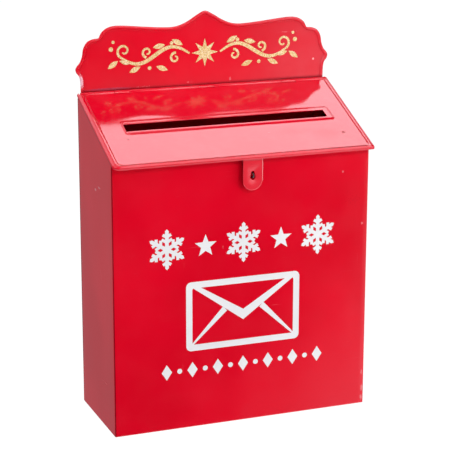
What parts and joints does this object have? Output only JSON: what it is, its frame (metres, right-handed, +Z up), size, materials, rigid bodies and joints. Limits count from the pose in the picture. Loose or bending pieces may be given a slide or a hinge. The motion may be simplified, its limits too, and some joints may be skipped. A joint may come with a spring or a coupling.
{
  "type": "letter box",
  "caption": "Painted sheet-metal wall letter box with a shaped header, a sloping hinged lid with a letter slot, and a hasp that drops over a padlock staple.",
  "frame": {"origin": "middle of the face that the box rests on, under the floor pan", "axes": "+X across the width, +Y from the front wall towards the back plate, +Z up"},
  "size_m": [0.2536, 0.1126, 0.3716],
  "materials": {
    "red_paint": "gloss",
    "bare_steel": "satin",
    "white_print": "satin",
    "gold_glitter": "glitter"
  },
  "bodies": {
    "case": {"case_wrap": "red_paint", "back_plate": "red_paint", "floor_pan": "red_paint", "hinge_strip": "red_paint", "hinge_wire": "bare_steel", "lock_staple": "bare_steel", "staple_plate": "bare_steel", "front_print": "white_print", "header_print": "gold_glitter"},
    "lid": {"lid": "red_paint", "hasp_bracket": "red_paint", "hasp_pin": "bare_steel"},
    "hasp": {"hasp_tab": "red_paint"}
  },
  "joints": [
    {"name": "lid_hinge", "type": "hinge", "parent": "case", "child": "lid", "pos_m": [0, 0.04627, 0.29992], "axis": [-1, 0, 0], "range_deg": [0, 100]},
    {"name": "hasp_hinge", "type": "hinge", "parent": "lid", "child": "hasp", "pos_m": [0.006, -0.05575, 0.25304], "axis": [-1, 0, 0], "range_deg": [0, 45]}
  ]
}
